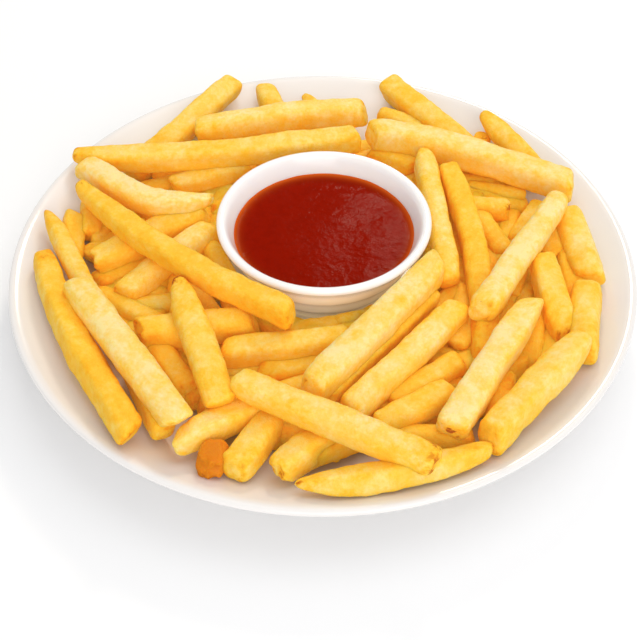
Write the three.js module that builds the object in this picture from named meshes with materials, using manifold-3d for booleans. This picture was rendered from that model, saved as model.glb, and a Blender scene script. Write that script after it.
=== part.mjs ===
// A plate of french fries with a filled ramekin in the middle, in millimetres, +Z up.
// The origin is the middle of the foot ring's underside, on the table. The near side is -Y.
import * as THREE from 'three';
import { mergeVertices } from 'three/addons/utils/BufferGeometryUtils.js';
import Module from 'manifold-3d';

const wasm = await Module();
wasm.setup();

// Plate: a coupe plate with a flat well, a wall that curves up, and a thin rounded lip
const PLATE_RADIUS = 120;
const PLATE_HEIGHT = 24;
const PLATE_WALL = 4.2;
const PLATE_STEPS = 48;
const LIP_THICKNESS = 3.6;
const WELL_RADIUS = 62;
const WELL_LEVEL = 7;
const WALL_TOP_RADIUS = 116.4;
const WALL_TOP_LEVEL = 23.4;
const FOOT_INNER_RADIUS = 72;
const FOOT_WIDTH = 4;
const FOOT_HEIGHT = 2.4;

// Ramekin: a tapered cup with two stepped rings outside, standing on the well
const RAMEKIN_CENTRE = [0.5, 5];
const RAMEKIN_RADIUS = 41.4;
const RAMEKIN_TOP = 35.7;
const RAMEKIN_BASE_RADIUS = 28;
const RAMEKIN_STEPS = 36;
const RAMEKIN_FLOOR = 3.6;
const LIP_ROUNDING = 1.4;
const RING_LEVELS = [14, 22, 30];
const RING_STEP = 0.8;
const MOUTH_RADIUS = 38;
const INNER_FLOOR_RADIUS = 25;

// Ketchup: fills the ramekin up to this level
const KETCHUP_LEVEL = 28;
const KETCHUP_RADIUS = 34.6;

// Between pieces that touch, and between the fries and the curved plate
const GAP = 0.35;
const PLATE_GAP = 0.6;

// Fries: rounded square sticks, with cut ends a little smaller than their middles
const FRY_CORNER = 0.55;
const FRY_END_CHAMFER = 2.2;
const FRY_END_SIZE = 0.76;
const TAPER_SHARE = 0.35;
const BOW_STOPS = [0.2, 0.4, 0.6, 0.8];

// Core: a low ring of fried potato under the fries that show
const CORE_INNER_RADIUS = 36;
const CORE_OUTER_RADIUS = 85;
const CORE_TOP = 14;
const CORE_STEPS = 36;

// Filler: fries under those that show, laid by a seeded rule
const FILLER_COUNT = 26;
const FILLER_SEED = 41;
const FILLER_THICKNESS = 9;
const FILLER_LEVELS = [14.5, 17];
const FILLER_LENGTHS = [34, 56];

const rad = THREE.MathUtils.degToRad;

// Height of the plate's upper face at a distance from its middle
function plateTop(r) {
  if (r <= WELL_RADIUS) return WELL_LEVEL;
  if (r >= PLATE_RADIUS) return -PLATE_HEIGHT;
  if (r >= WALL_TOP_RADIUS) return PLATE_HEIGHT;
  const s = (r - WELL_RADIUS) / (WALL_TOP_RADIUS - WELL_RADIUS);
  return WELL_LEVEL + (WALL_TOP_LEVEL - WELL_LEVEL) * s * s;
}

function plateSlope(r) {
  return r < WELL_RADIUS ? 0 : plateTop(Math.min(r, WALL_TOP_RADIUS - 1) + 0.5)
    - plateTop(Math.min(r, WALL_TOP_RADIUS - 1) - 0.5);
}

function lathe(profile, steps) {
  const geometry = new THREE.LatheGeometry(profile.map(([r, z]) => new THREE.Vector2(r, z)), steps);
  return geometry.rotateX(Math.PI / 2);
}

function plateGeometry() {
  const footOuter = FOOT_INNER_RADIUS + FOOT_WIDTH;
  const profile = [
    [0, FOOT_HEIGHT], [FOOT_INNER_RADIUS - 2, FOOT_HEIGHT], [FOOT_INNER_RADIUS, 0],
    [footOuter, 0], [footOuter + 1.5, FOOT_HEIGHT],
  ];
  for (const r of [89, 101, 111]) profile.push([r + 1, plateTop(r) - PLATE_WALL]);
  profile.push([PLATE_RADIUS - 1.4, PLATE_HEIGHT - LIP_THICKNESS + 0.3]);
  profile.push([PLATE_RADIUS, PLATE_HEIGHT - 1.7], [PLATE_RADIUS - 0.3, PLATE_HEIGHT - 0.6]);
  profile.push([PLATE_RADIUS - 1.2, PLATE_HEIGHT], [PLATE_RADIUS - 2.6, PLATE_HEIGHT - 0.05]);
  for (const r of [WALL_TOP_RADIUS - 0.2, 110, 102, 93, 82, 71, WELL_RADIUS]) {
    profile.push([r, plateTop(r)]);
  }
  profile.push([0, WELL_LEVEL]);
  return lathe(profile, PLATE_STEPS);
}

// Radius of the ramekin's outside, which narrows a little under each ring
function ramekinOuter(z) {
  const base = WELL_LEVEL + GAP;
  const share = (z - base) / (RAMEKIN_TOP - 4 - base);
  return RAMEKIN_BASE_RADIUS + (RAMEKIN_RADIUS - 2 - RAMEKIN_BASE_RADIUS) * share;
}

function ramekinInner(z) {
  const share = (z - WELL_LEVEL - RAMEKIN_FLOOR) / (KETCHUP_LEVEL - WELL_LEVEL - RAMEKIN_FLOOR);
  return INNER_FLOOR_RADIUS + (KETCHUP_RADIUS + GAP - INNER_FLOOR_RADIUS) * Math.sqrt(share);
}

function ramekinGeometry() {
  const base = WELL_LEVEL + GAP;
  const floor = WELL_LEVEL + RAMEKIN_FLOOR;
  const profile = [[0, base + 0.8], [RAMEKIN_BASE_RADIUS - 4, base + 0.8], [RAMEKIN_BASE_RADIUS - 3, base],
    [RAMEKIN_BASE_RADIUS - 0.6, base], [RAMEKIN_BASE_RADIUS, base + 0.8]];
  for (const level of RING_LEVELS) {
    profile.push([ramekinOuter(level) - RING_STEP / 2, level - 0.5]);
    profile.push([ramekinOuter(level) + RING_STEP / 2, level + 0.3]);
  }
  const lip = RAMEKIN_TOP - LIP_ROUNDING;
  for (const angle of [-50, 0, 45, 90]) {
    profile.push([RAMEKIN_RADIUS - LIP_ROUNDING + LIP_ROUNDING * Math.cos(rad(angle)),
      lip + LIP_ROUNDING * Math.sin(rad(angle))]);
  }
  profile.push([MOUTH_RADIUS + 0.6, RAMEKIN_TOP - 0.25], [MOUTH_RADIUS - 0.6, RAMEKIN_TOP - 1.6]);
  for (const z of [KETCHUP_LEVEL, 22, 16, 12.5]) profile.push([ramekinInner(z), z]);
  profile.push([INNER_FLOOR_RADIUS, floor], [0, floor]);
  return lathe(profile, RAMEKIN_STEPS);
}

function ketchupGeometry() {
  const floor = WELL_LEVEL + RAMEKIN_FLOOR + GAP;
  const profile = [[0, floor], [INNER_FLOOR_RADIUS - GAP, floor]];
  for (const z of [12.5, 16, 22, KETCHUP_LEVEL]) profile.push([ramekinInner(z) - GAP, z]);
  profile.push([KETCHUP_RADIUS - 3, KETCHUP_LEVEL - 0.3], [0, KETCHUP_LEVEL - 0.3]);
  return lathe(profile, RAMEKIN_STEPS);
}

function mesh(name, geometry, colour, roughness, place = [0, 0, 0]) {
  const material = new THREE.MeshStandardMaterial({ color: colour, roughness, metalness: 0 });
  const piece = new THREE.Mesh(geometry, material);
  piece.name = name;
  piece.position.set(...place);
  return piece;
}

// The fries that show, from the middle of one end to the middle of the other. Bow is how far the
// middle bends to the left of that way, peak where it bends most, and start and end how much of
// the thickness is left at a tapered end.
const fries = [];

function fry(from, to, thick, { bow = 0, peak = 0.5, start = 1, end = 1 } = {}) {
  fries.push({ from, to, thick, bow, peak, start, end });
}

// Back left
fry([-41, 104.5, 27], [-82, 49, 17], 11);
fry([-27, 106, 24.5], [-16, 74, 17], 11, { start: 0.8 });
fry([-9, 106.5, 21], [6, 82, 16], 7, { start: 0.4 });
fry([-55, 68.5, 29], [19, 87, 26], 12, { bow: 2, start: 0.85 });
fry([-105, 50.5, 30], [15, 62, 30], 10.5, { bow: -6, peak: 0.4, start: 0.55 });
fry([-100, 42.5, 30], [-43.5, 20.5, 31], 10, { bow: -10, peak: 0.62, end: 0.4 });
fry([-32, 52.5, 22], [-62.5, 39.5, 21.5], 9.5);
fry([-72, 53, 17], [-50, 48, 16.5], 9);

// Left
fry([-98, 27.5, 31], [-11, -45.5, 33], 10, { bow: -4.5, start: 0.6 });
fry([-87, -8.5, 21], [-47.5, 21.5, 24], 12);
fry([-75, -24.5, 21], [-44, 11.5, 23], 11);
fry([-101, 21, 20.5], [-98, -4, 19.5], 9);
fry([-96, 31, 18], [-93, 10, 17], 9);
fry([-95, 32, 21], [-77, 15, 20], 9);
fry([-93, 0.5, 16.5], [-67, 23, 15], 9);
fry([-110, 17, 27], [-86, -27, 25], 7.5, { start: 0.3 });
fry([-108, -6, 25], [-61, -92.5, 27], 10.5, { bow: -3 });
fry([-90, -28, 31], [-46, -89.5, 30], 10.5);
fry([-88, -15, 17], [-65, -1.5, 16], 9);
fry([-83, -29, 16.5], [-64, -47, 16], 9);

// Front left
fry([-69, -53, 20], [-51.5, -89, 23], 9);
fry([-60, -47, 19], [-46, -68, 18], 9);
fry([-65.5, -45.5, 23], [-24.5, -39.5, 23], 10);
fry([-36, -54, 22], [10, -47.5, 22], 11);
fry([-14.5, -40, 17.5], [12.5, -34.5, 17], 8);
fry([-23, -60, 18], [8.5, -53.5, 18], 9);
fry([-53.5, -25, 31], [-33, -81, 28], 10, { start: 0.4 });
fry([-47, -93.5, 23], [-30, -81.5, 22], 9.5);
fry([-38, -91, 20], [-35, -101, 22], 8);
fry([-23, -82, 23.5], [-28, -104.5, 24], 11);
fry([-5, -90.5, 23], [-14, -104.5, 24], 10.5);
fry([-5, -96.5, 20], [18, -82.5, 15.5], 8);
fry([-8, -109.5, 24.5], [54.5, -96, 25], 8.5, { bow: -3, start: 0.3, end: 0.8 });
fry([-28, -74.5, 32], [35.5, -106, 31], 9.5);

// Front right
fry([43, -17.5, 31], [-4, -76, 29], 10.5);
fry([42.5, -26, 25], [1, -75, 24], 6);
fry([50, -34, 26], [9, -82, 24], 9.5);
fry([49.5, -55, 20], [23, -73, 19], 8.5);
fry([45, -69.5, 21], [18.5, -85.5, 22], 9);
fry([75, -35.5, 29], [41.5, -91, 27.5], 9.5);
fry([89.5, -54, 28.5], [53.5, -93.5, 26], 10.5, { start: 0.6 });
fry([55, -17, 17], [48, -42, 17], 9);
fry([78.5, -32.5, 20], [73, -57.5, 18], 9.5);
fry([70, -21.5, 16], [63, -44.5, 16], 9);
fry([77, -6, 17], [71, -21, 17], 8);

// Right
fry([42, 53.5, 30.5], [48, -20, 24], 9.5);
fry([53, 47, 31], [57.5, -56, 21], 9.5, { bow: 4 });
fry([93.5, 19, 32], [56.5, -41, 31], 8.5, { start: 0.8 });
fry([76, 25, 21], [51.5, 29.5, 20], 9);
fry([90, 29, 21], [77, 9, 18], 9);
fry([73, 11, 16], [63, -4.5, 15], 9);
fry([91, 21, 19], [92, -1.5, 19.5], 9);
fry([99.5, 19.5, 23], [101.5, -17.5, 22.5], 9.5);
fry([83.5, -10, 26], [86, -48, 24], 9.5, { end: 0.6 });
fry([98.5, -23, 24.5], [90, -57.5, 25], 8.5);

// Back right
fry([20, 63.5, 30.5], [102, 32, 28], 12, { bow: 5, peak: 0.35 });
fry([20.5, 63.5, 21.5], [40, 52, 21.5], 9);
fry([25, 90.5, 22], [44, 81, 20.5], 8.5);
fry([30, 107, 26.5], [66, 63, 19.5], 11);
fry([71, 82, 25.5], [92, 47, 20], 10, { start: 0.5 });
fry([71.5, 75, 20.5], [62, 56, 16], 8);

// A steady run of numbers from 0 to 1
function seeded(seed) {
  let state = seed;
  return () => {
    state = (Math.imul(state, 1664525) + 1013904223) >>> 0;
    return state / 4294967296;
  };
}

// Filler fries lie round the ramekin, each turned a little from the ring's own way
function layFiller() {
  const random = seeded(FILLER_SEED);
  for (let i = 0; i < FILLER_COUNT; i += 1) {
    const around = 2 * Math.PI * (i + random()) / FILLER_COUNT;
    const out = THREE.MathUtils.lerp(60, 80, random());
    const turn = around + Math.PI / 2 + (random() - 0.5) * 2.2;
    const half = THREE.MathUtils.lerp(...FILLER_LENGTHS, random()) / 2;
    const level = THREE.MathUtils.lerp(...FILLER_LEVELS, random());
    const x = out * Math.cos(around);
    const y = out * Math.sin(around);
    const ends = [-half, half].map((d) => [x + d * Math.cos(turn), y + d * Math.sin(turn), level]);
    const fits = [-1, -0.5, 0, 0.5, 1].every((d) => {
      const px = x + d * half * Math.cos(turn);
      const py = y + d * half * Math.sin(turn);
      const fromRamekin = Math.hypot(px - RAMEKIN_CENTRE[0], py - RAMEKIN_CENTRE[1]);
      return fromRamekin > CORE_INNER_RADIUS + 6 && Math.hypot(px, py) < CORE_OUTER_RADIUS + 3;
    });
    if (fits) fry(...ends, FILLER_THICKNESS);
  }
}

// The middle line of a fry at a share of its length
function fryMiddle(f, t) {
  const [x1, y1, z1] = f.from;
  const [x2, y2, z2] = f.to;
  const length = Math.hypot(x2 - x1, y2 - y1);
  const side = f.bow * Math.sin(Math.PI * t ** (Math.log(0.5) / Math.log(f.peak)));
  return [
    x1 + (x2 - x1) * t - (y2 - y1) / length * side,
    y1 + (y2 - y1) * t + (x2 - x1) / length * side,
    z1 + (z2 - z1) * t,
  ];
}

// A fry on the plate's wall lies over with it
function fryRoll(f) {
  let turn = 0;
  let total = 0;
  let nearest = 0;
  for (const t of [0.03, 0.5, 0.97]) {
    const [x, y, z] = fryMiddle(f, t);
    const r = Math.hypot(x, y);
    const near = THREE.MathUtils.clamp((10 - (z - plateTop(Math.min(r, WALL_TOP_RADIUS - 3)))) / 4, 0, 1);
    const dx = f.to[0] - f.from[0];
    const dy = f.to[1] - f.from[1];
    const across = (-dy * x + dx * y) / r / Math.hypot(dx, dy);
    turn += near * Math.atan(plateSlope(r) * across);
    total += near;
    nearest = Math.max(nearest, near);
  }
  return total > 0 ? turn / total * nearest : 0;
}

function fryScale(f, t, length) {
  const ends = Math.min(t, 1 - t) * length < 0.01 ? FRY_END_SIZE : 1;
  const start = f.start + (1 - f.start) * Math.min(1, t / TAPER_SHARE);
  const end = f.end + (1 - f.end) * Math.min(1, (1 - t) / TAPER_SHARE);
  return ends * start * end;
}

function frySolid(f) {
  const length = Math.hypot(f.to[0] - f.from[0], f.to[1] - f.from[1]);
  const chamfer = FRY_END_CHAMFER / length;
  const stops = [0, chamfer, 1 - chamfer, 1];
  if (f.start < 1) stops.push(TAPER_SHARE);
  if (f.end < 1) stops.push(1 - TAPER_SHARE);
  if (f.bow !== 0) stops.push(...BOW_STOPS);
  stops.sort((a, b) => a - b);
  const half = f.thick / 2;
  const cut = half * FRY_CORNER;
  const section = [[half, -cut], [half, cut], [cut, half], [-cut, half],
    [-half, cut], [-half, -cut], [-cut, -half], [cut, -half]];
  const roll = fryRoll(f);
  const sides = section.length;
  const vertices = [];
  for (const t of stops) {
    const [x, y, z] = fryMiddle(f, t);
    const ahead = fryMiddle(f, Math.min(1, t + 0.01));
    const behind = fryMiddle(f, Math.max(0, t - 0.01));
    const step = Math.hypot(ahead[0] - behind[0], ahead[1] - behind[1]);
    const across = [-(ahead[1] - behind[1]) / step, (ahead[0] - behind[0]) / step];
    const scale = fryScale(f, t, length);
    for (const [a, b] of section) {
      const sideways = (a * Math.cos(roll) - b * Math.sin(roll)) * scale;
      const up = (a * Math.sin(roll) + b * Math.cos(roll)) * scale;
      vertices.push(x + across[0] * sideways, y + across[1] * sideways, z + up);
    }
  }
  const lift = liftClear(vertices, sides);
  for (let i = 2; i < vertices.length; i += 3) vertices[i] += lift;
  const triangles = [];
  for (let k = 0; k + 1 < stops.length; k += 1) {
    for (let i = 0; i < sides; i += 1) {
      const a = k * sides + i;
      const b = k * sides + (i + 1) % sides;
      triangles.push(a, b, b + sides, a, b + sides, a + sides);
    }
  }
  const last = (stops.length - 1) * sides;
  for (let i = 1; i + 1 < sides; i += 1) triangles.push(0, i + 1, i, last, last + i, last + i + 1);
  return solid(vertices, triangles);
}

// How far a fry has to rise to lie clear of the plate all along its edges
function liftClear(vertices, sides) {
  const row = sides * 3;
  let lift = 0;
  for (let i = 0; i + row < vertices.length; i += 3) {
    for (let s = 0; s <= 1; s += 0.125) {
      const [x, y, z] = [0, 1, 2].map((c) => vertices[i + c] * (1 - s) + vertices[i + row + c] * s);
      lift = Math.max(lift, plateTop(Math.hypot(x, y)) + PLATE_GAP - z);
    }
  }
  return lift;
}

function solid(vertices, triangles) {
  return new wasm.Manifold(new wasm.Mesh({
    numProp: 3, vertProperties: new Float32Array(vertices), triVerts: new Uint32Array(triangles),
  }));
}

function solidOf(geometry) {
  const bare = geometry.clone();
  bare.deleteAttribute('normal');
  bare.deleteAttribute('uv');
  const merged = mergeVertices(bare, 1e-4);
  return solid(merged.attributes.position.array, merged.index.array);
}

function coreGeometry() {
  const offset = Math.hypot(...RAMEKIN_CENTRE);
  const profile = [];
  for (const r of [CORE_INNER_RADIUS, 56, 68, 77, CORE_OUTER_RADIUS]) {
    profile.push([r, plateTop(r + offset) + PLATE_GAP]);
  }
  profile.push([CORE_OUTER_RADIUS - 3, CORE_TOP + 1], [68, CORE_TOP + 1.5]);
  profile.push([50, CORE_TOP + 0.5], [CORE_INNER_RADIUS + 4, CORE_TOP], [...profile[0]]);
  return lathe(profile, CORE_STEPS).translate(...RAMEKIN_CENTRE, 0);
}

function friesGeometry() {
  layFiller();
  const joined = wasm.Manifold.union([solidOf(coreGeometry()), ...fries.map(frySolid)]);
  const largest = joined.decompose().reduce((a, b) => (b.volume() > a.volume() ? b : a));
  const { vertProperties, triVerts } = largest.getMesh();
  const geometry = new THREE.BufferGeometry();
  geometry.setAttribute('position', new THREE.BufferAttribute(vertProperties, 3));
  geometry.setIndex(new THREE.BufferAttribute(triVerts, 1));
  geometry.computeVertexNormals();
  return geometry;
}

const ramekinPlace = [...RAMEKIN_CENTRE, 0];
const group = new THREE.Group();
group.add(mesh('plate', plateGeometry(), 0xf1ebe4, 0.2));
group.add(mesh('ramekin', ramekinGeometry(), 0xf4f0ec, 0.18, ramekinPlace));
group.add(mesh('ketchup', ketchupGeometry(), 0x8b1500, 0.25, ramekinPlace));
group.add(mesh('fries', friesGeometry(), 0xf2bd4a, 0.6));

export default group;
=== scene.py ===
import math
from dataclasses import dataclass, field

import bpy
import numpy as np
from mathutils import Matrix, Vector, noise
from mathutils.bvhtree import BVHTree


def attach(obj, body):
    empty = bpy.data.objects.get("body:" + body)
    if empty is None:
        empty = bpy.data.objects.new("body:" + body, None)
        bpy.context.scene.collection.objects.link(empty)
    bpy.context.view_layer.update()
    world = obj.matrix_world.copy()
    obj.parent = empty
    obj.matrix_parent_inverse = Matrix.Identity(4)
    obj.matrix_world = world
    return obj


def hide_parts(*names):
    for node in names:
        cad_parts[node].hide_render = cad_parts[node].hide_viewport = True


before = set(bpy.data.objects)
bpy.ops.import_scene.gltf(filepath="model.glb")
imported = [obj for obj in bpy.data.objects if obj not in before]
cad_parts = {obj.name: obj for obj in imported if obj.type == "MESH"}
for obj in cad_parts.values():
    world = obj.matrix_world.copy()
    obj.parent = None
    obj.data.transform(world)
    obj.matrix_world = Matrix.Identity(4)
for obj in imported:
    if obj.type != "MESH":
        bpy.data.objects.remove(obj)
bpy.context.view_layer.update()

bl_info = {
    "name": "Plate of French Fries",
    "version": (1, 0, 0),
    "blender": (4, 5, 0),
    "location": "View3D > Sidebar > Fries",
    "description": "A coupe plate heaped with fried potato sticks round a ramekin of ketchup",
    "category": "Add Mesh",
}

# Lengths are in millimetres, as the solids were drawn, and MM turns them into metres
MM = 0.001

# Camera: where it stands and how it looks down on the plate
EYE = (0.0, -279.27, 281.7)
LOOK_DOWN = math.radians(46.99)
LOOK_ASIDE = math.radians(-0.21)
LENS_MM = 54.74
SENSOR_MM = 36.0

# Plate
PLATE_RADIUS = 120.0
PLATE_HEIGHT = 24.0
PLATE_WALL = 4.2
LIP_THICKNESS = 3.6
WELL_RADIUS = 62.0
WELL_LEVEL = 7.0
WALL_TOP_RADIUS = 116.4
WALL_TOP_LEVEL = 23.4
FOOT_INNER_RADIUS = 72.0
FOOT_WIDTH = 4.0
FOOT_HEIGHT = 2.4
UNDERSIDE_FROM = 82.0
UNDERSIDE_TO = 115.0
WALL_STEP = 2.4
PLATE_STEPS = 256

# Ramekin
RAMEKIN_CENTRE = (0.5, 5.0)
RAMEKIN_RADIUS = 41.4
RAMEKIN_TOP = 35.7
RAMEKIN_BASE_RADIUS = 28.0
RAMEKIN_FLOOR = 3.6
SLANT_TOP = RAMEKIN_TOP - 4.0
SLANT_TOP_RADIUS = RAMEKIN_RADIUS - 2.0
LIP_ROUNDING = 1.4
RING_LEVELS = (14.0, 22.0, 30.0)
RING_STEP = 1.1
MOUTH_RADIUS = 38.0
INNER_FLOOR_RADIUS = 25.0
INNER_LEVELS = (24.0, 20.0, 16.0, 13.0, 11.4)
RAMEKIN_WALL_SLOPE = 0.36
LIP_SHADE = 33.0
LIP_SHADE_DEPTH = 4.0
RING_SHADE = 1.1
RAMEKIN_STEPS = 192

# Ketchup
KETCHUP_LEVEL = 28.0
KETCHUP_RADIUS = 34.6
GAP = 0.35

# Fries, as their solids are cut
PLATE_GAP = 0.6
FRY_CORNER = 0.55
FRY_END_CHAMFER = 2.2
FRY_END_SIZE = 0.76
TAPER_SHARE = 0.35
BOW_STOPS = (0.2, 0.4, 0.6, 0.8)
NEAR_WALL = 10.0
NEAR_WALL_FADE = 4.0

# Light and floor, in metres
MIDDLE = (0.0, 0.0, 0.0)
SOFT_LIGHT_SIZE = 1.0
TOP_LIGHT_PLACE = (0.34, 0.22, 1.12)
FRONT_LIGHT_PLACE = (0.2, -1.15, 0.67)
BACK_LIGHT_PLACE = (0.1, 0.62, 0.575)
BACK_LIGHT_TARGET = (0.0, 0.0, 0.02)
BACK_LIGHT_SIZE = 0.13
WARM = (1.0, 0.9, 0.74)
WHITE = (1.0, 1.0, 1.0)
FLOOR_HALF = 3.0
FLOOR_PATCHES = (0.004, 0.3, 0.7)


def plate_top(r):
    """Height of the plate's upper face at a distance from its middle."""
    if r <= WELL_RADIUS:
        return WELL_LEVEL
    if r >= PLATE_RADIUS:
        return -PLATE_HEIGHT
    if r >= WALL_TOP_RADIUS:
        return PLATE_HEIGHT
    share = (r - WELL_RADIUS) / (WALL_TOP_RADIUS - WELL_RADIUS)
    return WELL_LEVEL + (WALL_TOP_LEVEL - WELL_LEVEL) * share * share


def plate_slope(r):
    """Rise of the plate's upper face for each millimetre outwards."""
    if r < WELL_RADIUS:
        return 0.0
    r = min(r, WALL_TOP_RADIUS - 1)
    return plate_top(r + 0.5) - plate_top(r - 0.5)


# Mesh tools

def round_corners(points, steps=5):
    """An outline of (radius, height, rounding) points as a line with rounded corners."""
    line = []
    for i, (x, y, rounding) in enumerate(points):
        here = np.array((x, y))
        if rounding <= 0 or i in (0, len(points) - 1):
            line.append(here)
            continue
        back = np.array(points[i - 1][:2]) - here
        on = np.array(points[i + 1][:2]) - here
        first = here + back * min(0.49, rounding / np.linalg.norm(back))
        last = here + on * min(0.49, rounding / np.linalg.norm(on))
        for t in np.linspace(0, 1, steps):
            line.append(first * (1 - t) ** 2 + 2 * here * t * (1 - t) + last * t ** 2)
    return line


def spin(name, outline, steps, centre=(0.0, 0.0)):
    """A smooth turned piece from an outline that starts and ends on the axis."""
    ring = [p for p in outline if p[0] > 1e-6]
    turn = np.linspace(0, 2 * math.pi, steps, endpoint=False)
    radius = np.array([p[0] for p in ring])[:, None]
    height = np.array([p[1] for p in ring])[:, None]
    x = centre[0] + radius * np.cos(turn)
    y = centre[1] + radius * np.sin(turn)
    z = np.broadcast_to(height, x.shape)
    vertices = np.stack([x, y, z], -1).reshape(-1, 3)
    ends = [(*centre, outline[0][1]), (*centre, outline[-1][1])]
    faces = []
    for i in range(len(ring) - 1):
        faces += ring_faces(i * steps, (i + 1) * steps, steps)
    low = len(vertices)
    last = (len(ring) - 1) * steps
    for k in range(steps):
        faces.append((low, (k + 1) % steps, k))
        faces.append((low + 1, last + k, last + (k + 1) % steps))
    return mesh_object(name, np.vstack([vertices, ends]), faces)


def ring_faces(first, second, sides):
    """Quads between two rings that have the same number of sides."""
    quads = []
    for k in range(sides):
        after = (k + 1) % sides
        quads.append((first + k, first + after, second + after, second + k))
    return quads


def signed_volume(vertices, faces):
    """Six times the volume inside the faces, below zero where they point in."""
    total = 0.0
    for face in faces:
        a = vertices[face[0]]
        for i in range(1, len(face) - 1):
            total += float(np.dot(a, np.cross(vertices[face[i]], vertices[face[i + 1]])))
    return total


def mesh_object(name, vertices, faces):
    """A smooth-shaded object from points in millimetres."""
    mesh = bpy.data.meshes.new(name)
    mesh.from_pydata((np.asarray(vertices) * MM).tolist(), [], faces)
    mesh.update()
    mesh.shade_smooth()
    piece = bpy.data.objects.new(name, mesh)
    bpy.context.scene.collection.objects.link(piece)
    return piece


def set_values(piece, name, values):
    """Keeps a number or a place for each point of the mesh, for its material to read."""
    values = np.asarray(values, np.float32)
    kind, key = ("FLOAT", "value") if values.ndim == 1 else ("FLOAT_VECTOR", "vector")
    attribute = piece.data.attributes.new(name, kind, "POINT")
    attribute.data.foreach_set(key, values.ravel())


def dress(piece, material, body_slot, *nodes):
    """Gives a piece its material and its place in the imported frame."""
    piece.data.materials.append(material)
    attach(piece, "root")
    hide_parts(*nodes)


# Material tools

BLACK = (0.0, 0.0, 0.0)


def darker(colour, share):
    """A colour with only a share of its light left."""
    return tuple(c * share for c in colour)


def fill(node, inputs):
    """Fills sockets of a node, by a link where the value comes out of another node."""
    for key, value in inputs.items():
        if isinstance(value, bpy.types.NodeSocket):
            node.id_data.links.new(value, node.inputs[key])
        else:
            node.inputs[key].default_value = value


def add_node(tree, kind, inputs=None, **settings):
    """A new node with its settings and inputs filled in."""
    node = tree.nodes.new(kind)
    for key, value in settings.items():
        setattr(node, key, value)
    fill(node, inputs or {})
    return node


def principled(name):
    """A new material, with its tree and its Principled shader."""
    material = bpy.data.materials.new(name)
    material.use_nodes = True
    tree = material.node_tree
    return material, tree, tree.nodes["Principled BSDF"]


def new_group(name, inputs, outputs):
    """A new shader node group with named number, colour and vector sockets."""
    kinds = {"value": "NodeSocketFloat", "colour": "NodeSocketColor", "vector": "NodeSocketVector"}
    group = bpy.data.node_groups.new(name, "ShaderNodeTree")
    for label, kind in inputs:
        group.interface.new_socket(label, in_out="INPUT", socket_type=kinds[kind])
    for label, kind in outputs:
        group.interface.new_socket(label, in_out="OUTPUT", socket_type=kinds[kind])
    return group, group.nodes.new("NodeGroupInput"), group.nodes.new("NodeGroupOutput")


def use_group(tree, group, inputs):
    """A group placed in a material with its own values."""
    return add_node(tree, "ShaderNodeGroup", inputs, node_tree=group)


def mix_colours(tree, share, first, second):
    """One colour passing into another. Each may be a socket or a plain colour."""
    # Inputs 6 and 7 and output 2 are the node's sockets for colours
    inputs = {0: share}
    for key, colour in ((6, first), (7, second)):
        inputs[key] = colour if isinstance(colour, bpy.types.NodeSocket) else (*colour, 1.0)
    return add_node(tree, "ShaderNodeMix", inputs, data_type="RGBA", clamp_factor=True).outputs[2]


def math_node(tree, operation, first, second=0.0, clamp=False):
    """Two values joined by one step of arithmetic."""
    inputs = {0: first, 1: second}
    return add_node(tree, "ShaderNodeMath", inputs, operation=operation, use_clamp=clamp).outputs[0]


def ramp(tree, value, stops):
    """Colours at rising values, with soft passages between them."""
    node = add_node(tree, "ShaderNodeValToRGB", {"Fac": value})
    band = node.color_ramp
    while len(band.elements) < len(stops):
        band.elements.new(1.0)
    for element, (place, colour) in zip(band.elements, stops):
        element.position = place
        element.color = (*colour, 1.0)
    return node.outputs["Color"]


def weigh(tree, *parts):
    """The sum of values, each given with its weight."""
    total = 0.0
    for value, weight in parts:
        part = math_node(tree, "MULTIPLY", value, weight)
        total = math_node(tree, "ADD", part, total)
    return total


def soft_patches():
    """Node group: soft-edged patches, as in frying, glaze and sauce."""
    if "soft_patches" in bpy.data.node_groups:
        return bpy.data.node_groups["soft_patches"]
    group, start, end = new_group(
        "soft_patches",
        [("Place", "vector"), ("Scale", "value"), ("From", "value"), ("To", "value")],
        [("Mask", "value")])
    given = start.outputs
    cloud = add_node(group, "ShaderNodeTexNoise", {
        "Vector": given["Place"], "Scale": given["Scale"], "Detail": 3.0, "Roughness": 0.55})
    steps = add_node(group, "ShaderNodeMapRange", {
        "Value": cloud.outputs["Fac"], "From Min": given["From"], "From Max": given["To"],
    }, interpolation_type="SMOOTHSTEP")
    fill(end, {"Mask": steps.outputs["Result"]})
    return group


def patches(tree, place, scale, low, high):
    """The mask of soft patches in a material, from where they begin to where they are full."""
    inputs = {"Place": place, "Scale": scale, "From": low, "To": high}
    return use_group(tree, soft_patches(), inputs).outputs["Mask"]


def read_values(tree, name, kind="Fac"):
    """The numbers, or with Vector the places, kept on the points of the mesh under a name."""
    return add_node(tree, "ShaderNodeAttribute", attribute_name=name).outputs[kind]


def vary_roughness(tree, shader, mask, low, high):
    """Roughness that goes from low to high as the mask does."""
    rough = add_node(tree, "ShaderNodeMapRange", {"Value": mask, "To Min": low, "To Max": high})
    fill(shader, {"Roughness": rough.outputs["Result"]})


def add_bump(tree, shader, height, strength, distance):
    """Fine relief in a material, from a height that changes over the surface."""
    bump = add_node(tree, "ShaderNodeBump", {
        "Height": height, "Strength": strength, "Distance": distance * MM})
    fill(shader, {"Normal": bump.outputs["Normal"]})


def paint_glow(tree, shader, mask, colour, strength):
    """A painted glow: emission where a mask says so, standing in for light that comes through from
    behind.
    """
    glow = mix_colours(tree, mask, BLACK, colour)
    fill(shader, {"Emission Color": glow, "Emission Strength": strength})


def surface_place(tree):
    """The place on the object, in millimetres."""
    inputs = {0: add_node(tree, "ShaderNodeTexCoord").outputs["Object"], "Scale": 1 / MM}
    return add_node(tree, "ShaderNodeVectorMath", inputs, operation="SCALE").outputs[0]


# Porcelain

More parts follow.
